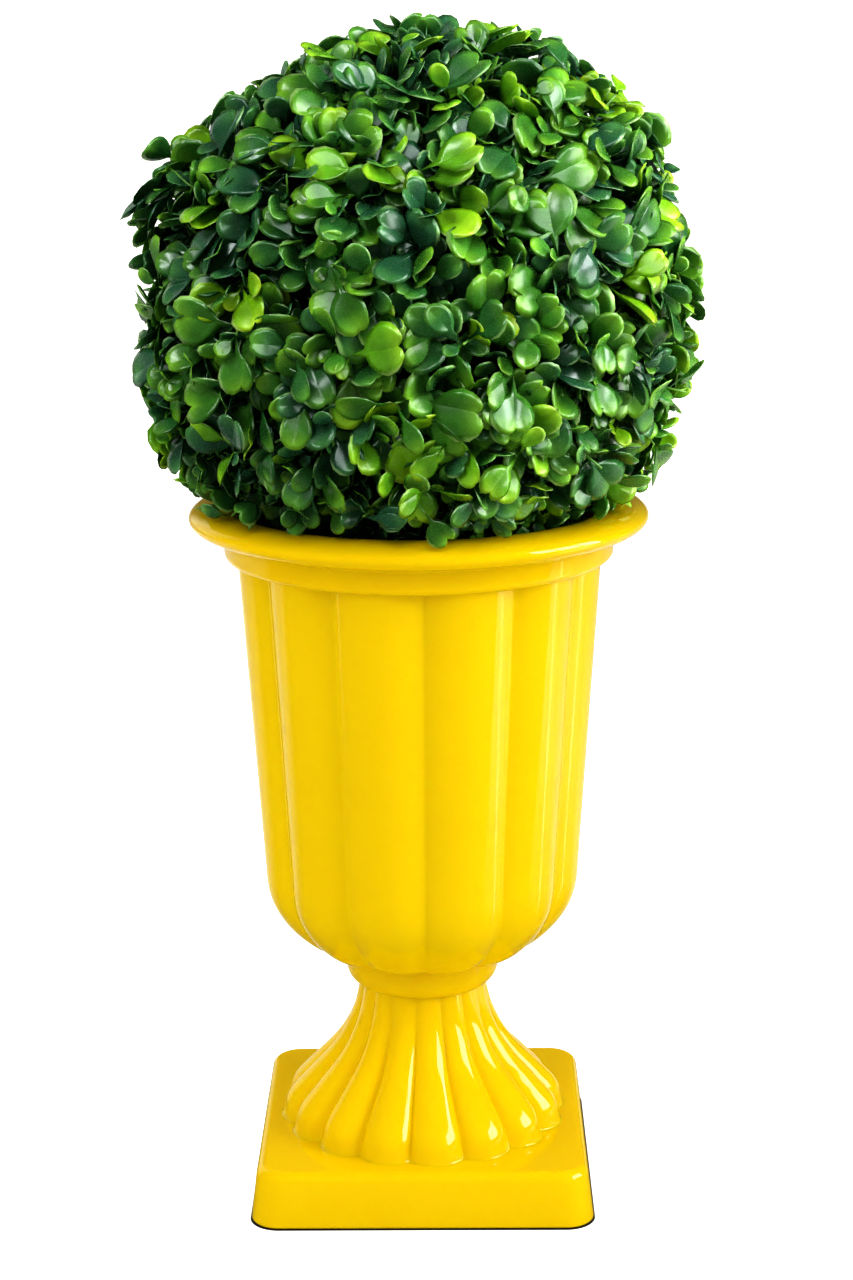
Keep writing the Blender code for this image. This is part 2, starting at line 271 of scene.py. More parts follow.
leaf_light = bpy.data.collections.new("lit_by_lamps")
urn_light = bpy.data.collections.new("lit_by_front_panel")
for name, azimuth, distance, height, size, glow, colour, lit in (
        ("panel_right", 68.0, 1.5, 0.95, 1.0, 3.9, WHITE, None),
        ("panel_left", -78.0, 1.6, 0.80, 0.9, 1.2, WHITE, None),
        ("panel_side", -70.0, 1.6, 0.70, 0.9, 0.75, WHITE, urn_light),
        ("panel_front", -4.0, 1.6, 2.00, 1.3, 2.3, WHITE, urn_light),
        ("panel_low", -8.0, 1.8, 0.45, 1.0, 0.7, WHITE, urn_light),
        ("panel_back", 200.0, 1.8, 0.90, 1.0, 2.2, WHITE, None),
        ("lamp_right", 60.0, 1.8, 2.20, 0.80, 16.0, COOL, leaf_light),
        ("lamp_left", -40.0, 1.8, 2.20, 0.70, 13.5, COOL, leaf_light),
        ("sky_front", 15.0, 1.7, 1.75, 1.6, 5.0, COOL, leaf_light)):
    panel = add_panel(name, round_the_object(azimuth, distance, height),
                      BALL_AIM if lit is leaf_light else URN_AIM, size, size, glow, colour)
    panel.visible_glossy = lit is leaf_light
    panel.visible_diffuse = name != "sky_front"
    panel.light_linking.receiver_collection = lit

# %% [markdown]
# ## The floor
# The object stands on a plain pale sheet, a plane large enough for any view. To the
# camera it is lit through from below, as a shop window's sheet is, so it is nearly white,
# and round the plinth a hairline of shadow is painted dark into its colour. To the object
# it is an ordinary white sheet that sends soft light back up. In the gloss it is dull in
# front and white behind, and a band at the right, painted brighter than white and seen
# only in the gloss, draws the pale stripes down the flutes as a painted reflection.

# %% Floor
FLOOR_SIZE = 120.0
FLOOR_DROP = 0.0004
SHEET_GLOW = 0.70
UNDER_PLINTH = (0.0944, 0.019)  # half its width between the round corners, radius
GLOW_FROM = (0.0004, 0.0012)    # distance outside the plinth's edge
PAINTED_HAIRLINE_SHADOW = (0.05, 0.05, 0.045, 1.0)
PLINTH_TURN = math.radians(0.55)    # the plinth isn't set quite square under the foot
SHEET_SHOWN = (0.12, 0.90)      # how pale the gloss shows it, in front and behind
SHEET_BACK = (0.10, 0.35)       # where it turns from the one to the other
PAINTED_GLOSS_BAND_FROM = (0.30, 0.95)       # where the painted band at the right begins and is whitest
PAINTED_GLOSS_BAND_MIDDLE = 0.03
PAINTED_GLOSS_BAND_HALF = ((0.25, 0.28, 1.10), (0.012, 0.020, 4.00))   # half width, soft edge, white


def make_sheet():
    """The sheet: its paleness in the gloss, its own glow, and a painted hairline of shadow."""
    material, tree, shader = new_material("pale_sheet")
    tint = ramp(tree, object_noise(tree, Scale=30.0), grey(0.76), grey(0.80))
    path = tree.nodes.new("ShaderNodeLightPath")
    place = tree.nodes.new("ShaderNodeTexCoord").outputs["Object"]
    along = split_axes(tree, place)
    dull = spread(tree, along["Y"], *SHEET_BACK, *SHEET_SHOWN)
    off = node_math(tree, "ABSOLUTE", node_math(tree, "ADD", along["Y"], PAINTED_GLOSS_BAND_MIDDLE))
    # Painted reflection: a band brighter than white, seen only in the gloss, draws the pale
    # stripes down the flutes.
    white = 0.0
    for inner, outer, amount in PAINTED_GLOSS_BAND_HALF:
        white = node_math(tree, "ADD", spread(tree, off, inner, outer, amount, 0.0), white)
    white = node_math(tree, "MULTIPLY", spread(tree, along["X"], *PAINTED_GLOSS_BAND_FROM), white)
    shown = mix_colours(tree, path.outputs["Is Glossy Ray"], tint,
                        node_math(tree, "MAXIMUM", dull, white))
    turned = node(tree, "ShaderNodeMapping", Vector=place, Rotation=(0.0, 0.0, PLINTH_TURN))
    square = split_axes(tree, turned.outputs["Vector"])
    past = []
    for axis in ("X", "Y"):
        out = node_math(tree, "SUBTRACT", node_math(tree, "ABSOLUTE", square[axis]),
                        UNDER_PLINTH[0])
        out = node_math(tree, "MAXIMUM", out)
        past.append(node_math(tree, "MULTIPLY", out, out))
    reach = node_math(tree, "POWER", node_math(tree, "ADD", *past), 0.5)
    # Painted shadow: right round the plinth the colour turns dark and the glow fades out.
    clear = spread(tree, node_math(tree, "SUBTRACT", reach, UNDER_PLINTH[1]), *GLOW_FROM)
    glow = node_math(tree, "MULTIPLY", clear, SHEET_GLOW)
    glow = node_math(tree, "MULTIPLY", path.outputs["Is Camera Ray"], glow)
    feed(shader, Roughness=0.9, Specular_IOR_Level=0.1, Emission_Color=WHITE,
         Emission_Strength=glow, Base_Color=mix_colours(tree, clear, PAINTED_HAIRLINE_SHADOW, shown))
    return material


bpy.ops.object.select_all(action="DESELECT")
bpy.ops.mesh.primitive_plane_add(size=FLOOR_SIZE, location=(0.0, 0.0, -FLOOR_DROP))
floor = bpy.context.object
floor.name = "studio_floor"
floor.data.materials.append(make_sheet())
urn_light.objects.link(floor)
print("floor", FLOOR_SIZE, "m wide")

# %% [markdown]
# ## Yellow plastic
# The urn is moulded from glossy yellow plastic. Its colour turns from lemon in the light
# to orange in the shade, because almost no blue comes back from it and less green than
# red. A little light travels inside the wall, which softens the edges. A slow swell bends
# the reflections, and a faint cloudiness changes the gloss from place to place.

# %% Yellow plastic
YELLOW = (0.828, 0.594, 0.0014, 1.0)
YELLOW_DEEP = (0.812, 0.577, 0.0012, 1.0)

yellow, tree, shader = new_material("yellow_plastic")
cloud = object_noise(tree, Scale=14.0, Detail=3.0, Roughness=0.5)
swell = object_noise(tree, Scale=18.0, Detail=1.0)
feed(shader, IOR=1.46, Subsurface_Weight=0.25, Subsurface_Scale=0.006,
     Subsurface_Radius=(1.0, 0.45, 0.02), Normal=bump(tree, swell, 0.05, 0.002),
     Base_Color=ramp(tree, cloud, YELLOW_DEEP, YELLOW, 0.25, 0.6),
     Roughness=ramp(tree, cloud, grey(0.025), grey(0.055), 0.3, 0.7))
print("finish", yellow.name)

# %% [markdown]
# ## The plinth
# A square block with upright corners well rounded and its top edge softly rolled. The top
# of a cube is drawn in a little, as on anything that must leave a mould. Then the bevel
# tool rounds first the four corners and then the whole rim, so that the rim runs round
# the corners in one sweep.

# %% Modelling helpers
def deselect_all():
    bpy.ops.object.select_all(action="DESELECT")


def edit_all():
    bpy.ops.object.mode_set(mode="EDIT")
    bpy.ops.mesh.select_all(action="SELECT")


def leave_edit():
    bpy.ops.object.mode_set(mode="OBJECT")


def pick(piece, kind, test):
    """In edit mode, select only the vertices or the edges that pass the test."""
    bm = bmesh.from_edit_mesh(piece.data)
    for part in (bm.verts, bm.edges, bm.faces):
        for item in part:
            item.select = False
    bpy.ops.mesh.select_mode(type=kind)
    for item in bm.verts if kind == "VERT" else bm.edges:
        if test(item):
            item.select_set(True)
    bmesh.update_edit_mesh(piece.data)


def heights(edge):
    return sorted(vert.co.z for vert in edge.verts)


def settle(piece, name, material, replaced):
    """Name a finished piece, give it its finish and hang it on the frame."""
    piece.name = name
    piece.data.name = name
    piece.data.materials.clear()
    piece.data.materials.append(material)
    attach(piece, "root")
    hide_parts(replaced)
    print(name, len(piece.data.polygons), "faces")


def settle_urn(piece, name, replaced, degrees):
    """Shade a piece of the urn smooth, give it the yellow and light it with the panels."""
    deselect_all()
    piece.select_set(True)
    bpy.context.view_layer.objects.active = piece
    bpy.ops.object.shade_smooth_by_angle(angle=math.radians(degrees))
    settle(piece, name, yellow, replaced)
    urn_light.objects.link(piece)


# %% Plinth
PLINTH_CORNER = 0.019
PLINTH_EDGE = 0.006
PLINTH_FOOT_EDGE = 0.0018
PLINTH_DRAFT = 0.0044           # how far each side leans in
PLINTH_SMOOTH = 35              # edges up to this many degrees are shaded smooth
UPRIGHT = 0.01                  # an edge that rises more than this is an upright one
LEVEL = 1e-5                    # two heights closer than this are the same

low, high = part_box("plinth")
size = high - low
deselect_all()
bpy.ops.mesh.primitive_cube_add(size=1.0, location=(0.0, 0.0, size.z / 2.0), scale=size)
plinth = bpy.context.object
bpy.ops.object.transform_apply(location=True, rotation=True, scale=True)
edit_all()
pick(plinth, "VERT", lambda vert: vert.co.z > size.z / 2.0)
draft = 1.0 - 2.0 * PLINTH_DRAFT / size.x
bpy.ops.transform.resize(value=(draft, draft, 1.0))
for width, segments, test in (
        (PLINTH_CORNER, 14, lambda edge: heights(edge)[1] - heights(edge)[0] > UPRIGHT),
        (PLINTH_EDGE, 10, lambda edge: heights(edge)[0] > size.z - LEVEL),
        (PLINTH_FOOT_EDGE, 3, lambda edge: heights(edge)[1] < LEVEL)):
    pick(plinth, "EDGE", test)
    bpy.ops.mesh.bevel(offset=width, segments=segments, affect="EDGES")
bpy.ops.mesh.select_all(action="SELECT")
bpy.ops.transform.rotate(value=PLINTH_TURN, orient_axis="Z",
                         center_override=(0.0, 0.0, 0.0))
leave_edit()
settle_urn(plinth, "plinth_block", "plinth", PLINTH_SMOOTH)

# %% [markdown]
# ## Turned and fluted shells
# Foot, collar and bowl are all stacks of rings. Each starts as one circle at the bottom
# that is extruded upward and scaled, ring by ring, along a smooth curve through a few
# points of its profile. The flutes are then pressed in: seen from above, a ring of round
# lobes is a row of circle arcs that meet in valleys, and every vertex is moved in to that
# outline. The vertices crowd together near the valleys, where the surface turns fastest,
# and a small fillet rounds each valley, which draws its thin bright line.

# %% Profiles and rings
VALLEY_CROWD = 0.80             # 0 spreads the vertices evenly over a lobe
VALLEY_FILLET = 0.016           # share of the radius over which two lobes blend
URN_SMOOTH = 40


def curve_through(points, steps):
    """A smooth line through points, with steps pieces between each pair."""
    line = []
    ends = [points[0], *points, points[-1]]
    for before, start, end, after in zip(ends, ends[1:], ends[2:], ends[3:]):
        for step in range(steps):
            t = step / steps
            line.append(tuple(
                0.5 * (2.0 * b + (c - a) * t + (2.0 * a - 5.0 * b + 4.0 * c - d) * t * t
                       + (3.0 * b - a - 3.0 * c + d) * t ** 3)
                for a, b, c, d in zip(before, start, end, after)))
    line.append(tuple(points[-1]))
    return line


def arc(middle, half, start, end, steps):
    """Height and radius along part of an ellipse, with angles in degrees."""
    angles = [math.radians(start + (end - start) * step / steps)
              for step in range(steps + 1)]
    return [(middle[1] + half[1] * math.sin(angle), middle[0] + half[0] * math.cos(angle))
            for angle in angles]


def stack_rings(levels, around):
    """One circle drawn up through all levels, each a height and a radius."""
    deselect_all()
    bpy.ops.mesh.primitive_circle_add(vertices=around, radius=levels[0][1],
                                      location=(0.0, 0.0, levels[0][0]))
    piece = bpy.context.object
    bpy.ops.object.transform_apply(location=True)
    edit_all()
    for below, above in zip(levels, levels[1:]):
        rise = {"value": (0.0, 0.0, above[0] - below[0])}
        bpy.ops.mesh.extrude_region_move(TRANSFORM_OT_translate=rise)
        share = above[1] / below[1]
        bpy.ops.transform.resize(value=(share, share, 1.0))
    bpy.ops.mesh.edge_face_add()
    leave_edit()
    return piece


def close_bottom(piece, around):
    """Fill the first ring and turn every face outwards."""
    edit_all()
    pick(piece, "EDGE", lambda edge: all(v.index < around for v in edge.verts))
    bpy.ops.mesh.edge_face_add()
    bpy.ops.mesh.select_all(action="SELECT")
    bpy.ops.mesh.normals_make_consistent(inside=False)
    leave_edit()


def blend_over(first, second, width):
    """The larger of two values, rounded off where they are nearly equal."""
    near = max(width - abs(first - second), 0.0) / width
    return max(first, second) + near * near * width / 4.0


def lobe_share(off, count, valley):
    """Radius of a ring of lobes as a share of its crown's, off being from a crown."""
    half = math.pi / count
    c = (1.0 - valley ** 2) / (2.0 * (1.0 - valley * math.cos(half)))

    def reach(angle):
        return c * math.cos(angle) + math.sqrt(
            max((1.0 - c) ** 2 - (c * math.sin(angle)) ** 2, 0.0))

    return blend_over(reach(off), reach(2.0 * half - abs(off)), VALLEY_FILLET)


def press_flutes(piece, around, valleys, count, turn):
    """Move every vertex of a stack to the outline of its ring's lobes."""
    first = turn - math.pi / 2.0
    width = 2.0 * math.pi / count
    for vert in piece.data.vertices:
        angle = (math.atan2(vert.co.y, vert.co.x) - first) % math.tau
        lobe, across = divmod(angle / width, 1.0)
        across -= VALLEY_CROWD * math.sin(math.tau * across) / math.tau
        off = (across - 0.5) * width
        radius = math.hypot(vert.co.x, vert.co.y)
        valley = valleys[vert.index // around]
        if valley < 1.0:
            radius *= lobe_share(off, count, valley)
        angle = first + (lobe + across) * width
        vert.co.x = radius * math.cos(angle)
        vert.co.y = radius * math.sin(angle)


def turn_piece(name, replaced, levels, around, lobes=0, turn=0.0):
    """A piece of the urn from its rings, with flutes where it has lobes."""
    piece = stack_rings(levels, around)
    close_bottom(piece, around)
    if lobes:
        press_flutes(piece, around, [level[2] for level in levels], lobes, turn)
    settle_urn(piece, name, replaced, URN_SMOOTH)


# %% [markdown]
# ## The foot
# Sixteen toes spread over the plinth and run up, hollow-chested, into a narrow neck. The
# profile bulges at the toes, sweeps in, and ends in the collar. A thin fillet where the
# toes meet the plinth is the seam of the mould.

# %% Foot
FOOT_LOBES = 16
FOOT_TURN = math.radians(-5.6)
FOOT_ACROSS = 16                # faces over one lobe
FOOT_PROFILE = [                # height, crown radius, valley share
    (0.0368, 0.0982, 0.928), (0.0372, 0.0974, 0.925), (0.0380, 0.0970, 0.922),
    (0.0392, 0.0966, 0.920), (0.0415, 0.0961, 0.914), (0.0455, 0.0955, 0.904),
    (0.0500, 0.0942, 0.895), (0.0550, 0.0912, 0.888), (0.0600, 0.0868, 0.884),
    (0.0660, 0.0810, 0.884), (0.0720, 0.0753, 0.886), (0.0780, 0.0694, 0.888),
    (0.0840, 0.0639, 0.893), (0.0900, 0.0592, 0.900), (0.0960, 0.0553, 0.910),
    (0.1030, 0.0516, 0.922), (0.1130, 0.0474, 0.938), (0.1230, 0.0447, 0.950),
    (0.1323, 0.0430, 0.955), (0.1350, 0.0426, 0.955)]

turn_piece("fluted_foot", "foot", curve_through(FOOT_PROFILE, 3),
           FOOT_LOBES * FOOT_ACROSS, FOOT_LOBES, FOOT_TURN)

# %% [markdown]
# ## The collar
# A plain ring between the neck of the foot and the underside of the bowl. It swells out
# in one soft curve and runs up into the hollow under the flutes. It is the same stack of
# rings, with no flutes.

# %% Collar
COLLAR_AROUND = 128
COLLAR_PROFILE = [              # height and radius
    (0.1336, 0.0430), (0.1341, 0.0446), (0.1352, 0.0465), (0.1372, 0.0486),
    (0.1400, 0.0504), (0.1440, 0.0516), (0.1500, 0.0521), (0.1560, 0.0520),
    (0.1586, 0.0516)]

turn_piece("collar_ring", "collar", curve_through(COLLAR_PROFILE, 4), COLLAR_AROUND)

# %% [markdown]
# ## The bowl
# Twelve broad lobes rise from a rounded bottom, a little wider at the top than at the
# bottom, and end under a plain quarter round with a rolled lip above it. The profile goes
# up the outside, over the lip and down the inside, so that the bowl is one closed shell
# with a real wall.

# %% Bowl
BOWL_LOBES = 12
BOWL_TURN = math.radians(1.6)
BOWL_ACROSS = 20
BOWL_VALLEY = 0.932
WALL = 0.0032
WALL_LOW = (0.2240, 0.1071)     # height and crown radius where the wall bends in
WALL_TOP = (0.4280, 0.1207)
LIP_MIDDLE = (0.1310, 0.4560)   # radius and height
LIP_HALF = (0.0193, 0.0090)
QUARTER_TURN = 0.4335
QUARTER_RADIUS = 0.1278
QUARTER_TOP = 0.4440
BOWL_BOTTOM = [                 # height and radius, the outside from the collar up
    (0.1578, 0.0515), (0.1580, 0.0570), (0.1588, 0.0625), (0.1606, 0.0700),
    (0.1655, 0.0783), (0.1740, 0.0879), (0.1840, 0.0962), (0.1960, 0.1027),
    (0.2090, 0.1060), WALL_LOW]
BOWL_FLOOR = [                  # the inside from the wall down
    (WALL_LOW[0], WALL_LOW[1] - WALL), (0.2060, 0.1030), (0.1920, 0.0984),
    (0.1800, 0.0902), (0.1700, 0.0796), (0.1650, 0.0700), (0.1625, 0.0610)]
UNDER_LIP = [                   # the inside from the lip down to the flutes
    (0.4648, 0.1275), (0.4625, 0.1210), (0.4560, 0.1182), (0.4460, 0.1172),
    (0.4320, 0.1168)]
INSIDE_TOP = 0.4240             # height where the flutes begin inside
STEP_UNDER_QUARTER = 0.0003     # the small step between the flutes and the quarter round
GROOVE_UNDER_LIP = 0.0010
ARC_FROM = -84                  # degrees, a little short of straight down


def straight(start, end, steps):
    """Points from start to end, without either of them."""
    return [tuple(a + (b - a) * step / steps for a, b in zip(start, end))
            for step in range(1, steps)]


def bowl_levels():
    """Height, radius and valley share of every ring, up the outside, down the inside."""
    outside = curve_through(BOWL_BOTTOM, 4) + straight(WALL_LOW, WALL_TOP, 10)
    outside.append(WALL_TOP)
    reach = QUARTER_RADIUS - WALL_TOP[1]
    drop = QUARTER_TURN - WALL_TOP[0] - STEP_UNDER_QUARTER
    plain = arc((WALL_TOP[1], QUARTER_TURN), (reach, drop), ARC_FROM, 0, 10)
    plain += [(QUARTER_TOP - GROOVE_UNDER_LIP, QUARTER_RADIUS), (QUARTER_TOP, QUARTER_RADIUS)]
    plain += arc(LIP_MIDDLE, LIP_HALF, ARC_FROM, 90, 34) + curve_through(UNDER_LIP, 5)
    top_inside = (INSIDE_TOP, WALL_TOP[1] - WALL)
    inside = [top_inside] + straight(top_inside, BOWL_FLOOR[0], 6)
    inside += curve_through(BOWL_FLOOR, 2)
    parts = ((outside, BOWL_VALLEY), (plain, 1.0), (inside, BOWL_VALLEY))
    return [(*point, valley) for line, valley in parts for point in line]


turn_piece("fluted_bowl", "bowl", bowl_levels(), BOWL_LOBES * BOWL_ACROSS,
           BOWL_LOBES, BOWL_TURN)

# %% [markdown]
# ## The filling and the stem
# Both lie in the dark of the bowl, and both keep the solids' own shapes. The filling is
# crumbly brown foam. The stem is a turned stick with bark, whose ridges are noise that is
# drawn out lengthwise by a Mapping node.

# %% Filling and stem
def make_matt(name, dark, light, dull, relief=None, end=0.7, stretch=None, **grain):
    """A matt finish of two colours, mixed by one noise that also gives the bump."""
    material, tree, shader = new_material(name)
    grain = object_noise(tree, stretch, **grain)
    feed(shader, Roughness=dull,
         Base_Color=ramp(tree, grain, (*dark, 1.0), (*light, 1.0), 0.3, end))
    if relief:
        feed(shader, Normal=bump(tree, grain, *relief))
    return material


def refinish(name, material):
    """Give a node of the frame a better finish and leave its mesh alone."""
    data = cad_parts[name].data
    data.materials.clear()
    data.materials.append(material)


refinish("pot_fill", make_matt(
    "brown_filling", (0.012, 0.009, 0.006), (0.085, 0.060, 0.036), 0.95,
    relief=(0.8, 0.003), end=0.75, Scale=260.0, Detail=6.0, Roughness=0.7))
refinish("stem", make_matt(
    "stem_bark", (0.020, 0.012, 0.007), (0.150, 0.095, 0.055), 0.85,
    relief=(0.9, 0.002), stretch=(1.0, 1.0, 0.18), Scale=420.0, Detail=5.0, Roughness=0.6))

# %% [markdown]
# ## The clipped outline
# The ball isn't quite round: it is flatter on one shoulder and fuller on the other. Its
# outline is a sphere's radius with a few soft bumps and hollows added. Every spray asks
# this function how far it may reach, and the test below it keeps leaves out of the wall
# and the lip of the bowl.

# %% Outline of the ball
BALL_MIDDLE = Vector((-0.0020, 0.0, 0.5870))
BALL_RADIUS = 0.1870
CORE_RADIUS = 0.1480
UNEVEN = (                      # direction, share of the radius, spread in radians
    (Vector((-0.66, -0.05, 0.75)), -0.065, 0.48),
    (Vector((0.48, -0.05, 0.88)), 0.050, 0.44),
    (Vector((0.14, -0.05, 0.99)), -0.030, 0.28),
    (Vector((-0.78, -0.05, 0.63)), 0.045, 0.16),
    (Vector((-0.99, -0.10, -0.04)), -0.060, 0.30),
    (Vector((-0.90, -0.12, 0.43)), 0.135, 0.16),
    (Vector((0.72, -0.05, 0.69)), 0.016, 0.40),
    (Vector((0.99, -0.05, 0.00)), -0.022, 0.22),
    (Vector((0.77, -0.05, -0.64)), 0.036, 0.28),
    (Vector((0.20, -0.82, -0.58)), 0.085, 0.15),
)
FILL_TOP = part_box("pot_fill")[1].z
STEM_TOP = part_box("stem")[1].z
STEM_RADIUS = 0.010
CLEARANCE = 0.0012


def ball_reach(direction):
    """Distance from the ball's middle to its clipped outline in one direction."""
    reach = 1.0
    for middle, amount, wide in UNEVEN:
        reach += amount * math.exp(-((direction.angle(middle) / wide) ** 2))
    return BALL_RADIUS * reach


def clear_of_urn(point):
    """Whether a point keeps clear of the lip, the mouth, the filling and the stem."""
    out = math.hypot(point.x, point.y)
    if point.z < FILL_TOP + CLEARANCE:
        return False
    from_stem = math.hypot(point.x - BALL_MIDDLE.x, point.y - BALL_MIDDLE.y)
    if point.z < STEM_TOP + CLEARANCE and from_stem < 2.0 * STEM_RADIUS:
        return False
    if point.z < LIP_MIDDLE[1]:
        return out < WALL_TOP[1] - WALL - CLEARANCE
    across = (out - LIP_MIDDLE[0]) / (LIP_HALF[0] + CLEARANCE)
    up = (point.z - LIP_MIDDLE[1]) / (LIP_HALF[1] + CLEARANCE)
    return across ** 2 + up ** 2 > 1.0


def spread_directions(count):
    """Directions spaced evenly over a ball, in a spiral from its top to its bottom."""
    golden = math.pi * (3.0 - math.sqrt(5.0))
    for step in range(count):
        z = 1.0 - (2.0 * step + 1.0) / count
        flat = math.sqrt(1.0 - z * z)
        angle = golden * step
        yield Vector((flat * math.cos(angle), flat * math.sin(angle), z))


# %% [markdown]
# ## The lattice core
# Under the leaves lies the moulded lattice that all the sprays are plugged into: a hollow
# ball of dark green plastic with a grid of square pockets. Every face of a sphere is
# inset on its own, and the inner faces are pushed inwards. It is seen only as darkness
# between the leaves.

# %% Lattice core
POCKET_WALL = 0.0016
POCKET_DEPTH = 0.004

deselect_all()
bpy.ops.mesh.primitive_uv_sphere_add(segments=60, ring_count=30, radius=CORE_RADIUS,
                                     location=BALL_MIDDLE)
core = bpy.context.object
bpy.ops.object.transform_apply(location=True)
edit_all()
bpy.ops.mesh.inset(thickness=POCKET_WALL, use_individual=True)
bpy.ops.mesh.extrude_region_shrink_fatten(
    TRANSFORM_OT_shrink_fatten={"value": -POCKET_DEPTH})
leave_edit()
dark_green = make_matt("lattice_green", (0.002, 0.005, 0.002), (0.006, 0.016, 0.005), 0.6,
                       Scale=60.0, Detail=3.0)
settle(core, "lattice_core", dark_green, "foliage_ball")

# %% [markdown]
# ## One leaf
# A moulded box leaf is a small spoon: a blade that is widest near its tip and tapers to a
# stalk. Some are plain, and some are cleft at the tip into two round lobes with a crisp
# groove between them. Each kind starts as a fan of faces with one ring inset in it, copied
# and turned over for the underside. Its vertices are then moved by two rules: how far the
# rim is from the middle in each direction, and how high the surface stands there. The rim
# of the two sides is the same line, so the leaf is a closed body of a few dozen faces.

# %% Leaf kinds
SPOKE_ANGLES = (0.0, 0.17, 0.40, 0.72, 1.10, 1.53, 2.02, 2.54, 3.00, math.pi)
SPOKES = 2 * (len(SPOKE_ANGLES) - 1)
RING = 0.72                     # where the inner ring of a leaf lies
STALK_FROM = 3.05               # angle behind which the rim is that of the stalk
LEAF_THICK = 0.0007
MM = 0.001
# Lengths in millimetres from the blade's middle, and as shares of them how deep the tip
# is cleft and how much larger one lobe is.
LEAF_SIZES = ("tip", "side", "base", "stalk", "cleft", "lop")
LEAF_KINDS = {name: dict(zip(LEAF_SIZES, sizes)) for name, *sizes in (
    ("spoon", 9.8, 8.3, 11.2, 20.5, 0.00, 0.00),
    ("heart", 11.0, 12.4, 12.4, 20.5, 0.38, 0.00),
    ("mitten", 10.5, 11.0, 11.6, 20.5, 0.34, 0.16),
    ("notched", 9.8, 8.5, 11.2, 21.0, 0.13, 0.07),
    ("paddle", 8.5, 6.8, 10.0, 19.0, 0.00, 0.00),
    ("bud", 5.5, 5.2, 5.8, 10.0, 0.00, 0.00))}
DEEP_CLEFT = 0.2                # a leaf cleft deeper than this has a crisp groove
MAP_RIGHT = 0.99                # the edge is crisp where the flat map passes this
CLEFT_WIDE = 0.20               # in radians
ROUND_TIP = 2.3                 # 2 is an ellipse, more is fuller, less is leaner
LEAN_BASE = 1.55
LEAF_SHAPES = (                 # cup, groove, droop and dome, shares of the half width
    (0.26, 0.06, 0.06, 0.12), (0.12, 0.12, 0.20, 0.15),
    (-0.06, 0.08, 0.24, 0.16), (0.04, 0.15, -0.10, 0.16))
SHALLOW_GROOVE = 0.45
GROOVE_WIDE = 0.55
RIM_RISE = 0.05
RIM_FROM = 0.9
DROOP_FROM = 0.30


def rim_reach(kind, angle):
    """Distance from the blade's middle to its rim; angle 0 points at the tip."""
    if abs(angle) > STALK_FROM:
        return kind["stalk"] * MM
    tip = math.cos(angle) > 0.0
    long, power = (kind["tip"], ROUND_TIP) if tip else (kind["base"], LEAN_BASE)
    across = abs(math.sin(angle) / kind["side"]) ** power
    along = abs(math.cos(angle) / long) ** power
    reach = (across + along) ** (-1.0 / power)
    reach *= 1.0 - kind["cleft"] * math.exp(-((angle / CLEFT_WIDE) ** 2))
    reach *= 1.0 + kind["lop"] * math.sin(angle)
    return reach * MM


def blade_height(kind, shape, x, y, share):
    """Height of the blade over its flat plane, at a point x across and y along."""
    cup, groove, droop, dome = shape
    side = kind["side"] * MM
    length = (kind["tip"] + kind["stalk"]) * MM
    along = (y + kind["stalk"] * MM) / length
    cleft = 1.0 if kind["cleft"] > DEEP_CLEFT else SHALLOW_GROOVE
    off = min(abs(x) / (GROOVE_WIDE * side), 1.0)
    height = cup * side * (x / side) ** 2
    height += RIM_RISE * side * max(share - RIM_FROM, 0.0) * 10.0
    height += groove * cleft * side * off
    height += dome * side * off * (1.0 - share ** 2) * 2.0
    height -= droop * length * max(along - DROOP_FROM, 0.0) ** 2
    return height


def model_leaf(kind, shape):
    """One leaf with its stalk end at the origin, its tip along +Y, its face up."""
    deselect_all()
    bpy.ops.mesh.primitive_circle_add(vertices=SPOKES, radius=1.0, fill_type="TRIFAN")
    piece = bpy.context.object
    edit_all()
    bpy.ops.mesh.inset(thickness=1.0 - RING, use_even_offset=False)
    bpy.ops.mesh.select_all(action="SELECT")
    bpy.ops.mesh.normals_make_consistent(inside=False)
    bpy.ops.mesh.duplicate()
    bpy.ops.mesh.flip_normals()
    bpy.ops.transform.translate(value=(0.0, 0.0, -1.0))
    leave_edit()
    stalk = kind["stalk"] * MM
    base = kind["base"] * MM
    for vert in piece.data.vertices:
        below = vert.co.z < -0.5
        flat = math.hypot(vert.co.x, vert.co.y)
        share = 0.0 if flat < 0.1 else (1.0 if flat > 0.95 else RING)
        turn = math.atan2(vert.co.x, vert.co.y)
        step = round(abs(turn) / (math.tau / SPOKES))
        angle = math.copysign(SPOKE_ANGLES[step], turn)
        reach = share * rim_reach(kind, angle)
        if share < 1.0 and abs(angle) > STALK_FROM:
            reach = share * base
        x = reach * math.sin(angle)
        y = reach * math.cos(angle)
        z = blade_height(kind, shape, x, y, share)
        if below and share < 1.0:
            z -= LEAF_THICK
        vert.co = (x, y + stalk, z)
    edit_all()
    bpy.ops.mesh.remove_doubles(threshold=1e-6)
    leave_edit()
    return piece


def read_template(piece, kind):
    """The arrays that copying needs, with the flat map of the circle and crisp points."""
    data = piece.data
    made = {"points": np.array([vert.co for vert in data.vertices]),
            "corners": np.array([loop.vertex_index for loop in data.loops]),
            "starts": np.array([face.loop_start for face in data.polygons]),
            "uv": np.array([item.uv for item in data.uv_layers[0].data])}
    made["edge"] = np.zeros(len(made["points"]), dtype=bool)
    made["edge"][made["corners"][made["uv"][:, 0] > MAP_RIGHT]] = True
    made["groove"] = (np.abs(made["points"][:, 0]) < 1e-7) & (kind["cleft"] > DEEP_CLEFT)
    bpy.data.objects.remove(piece)
    return made


leaf_templates = {}
for kind_name, kind in LEAF_KINDS.items():
    for number, shape in enumerate(LEAF_SHAPES):
        leaf_templates[kind_name, number] = read_template(model_leaf(kind, shape), kind)
print("leaf templates", len(leaf_templates), "with",
      len(leaf_templates["spoon", 0]["starts"]), "faces each")

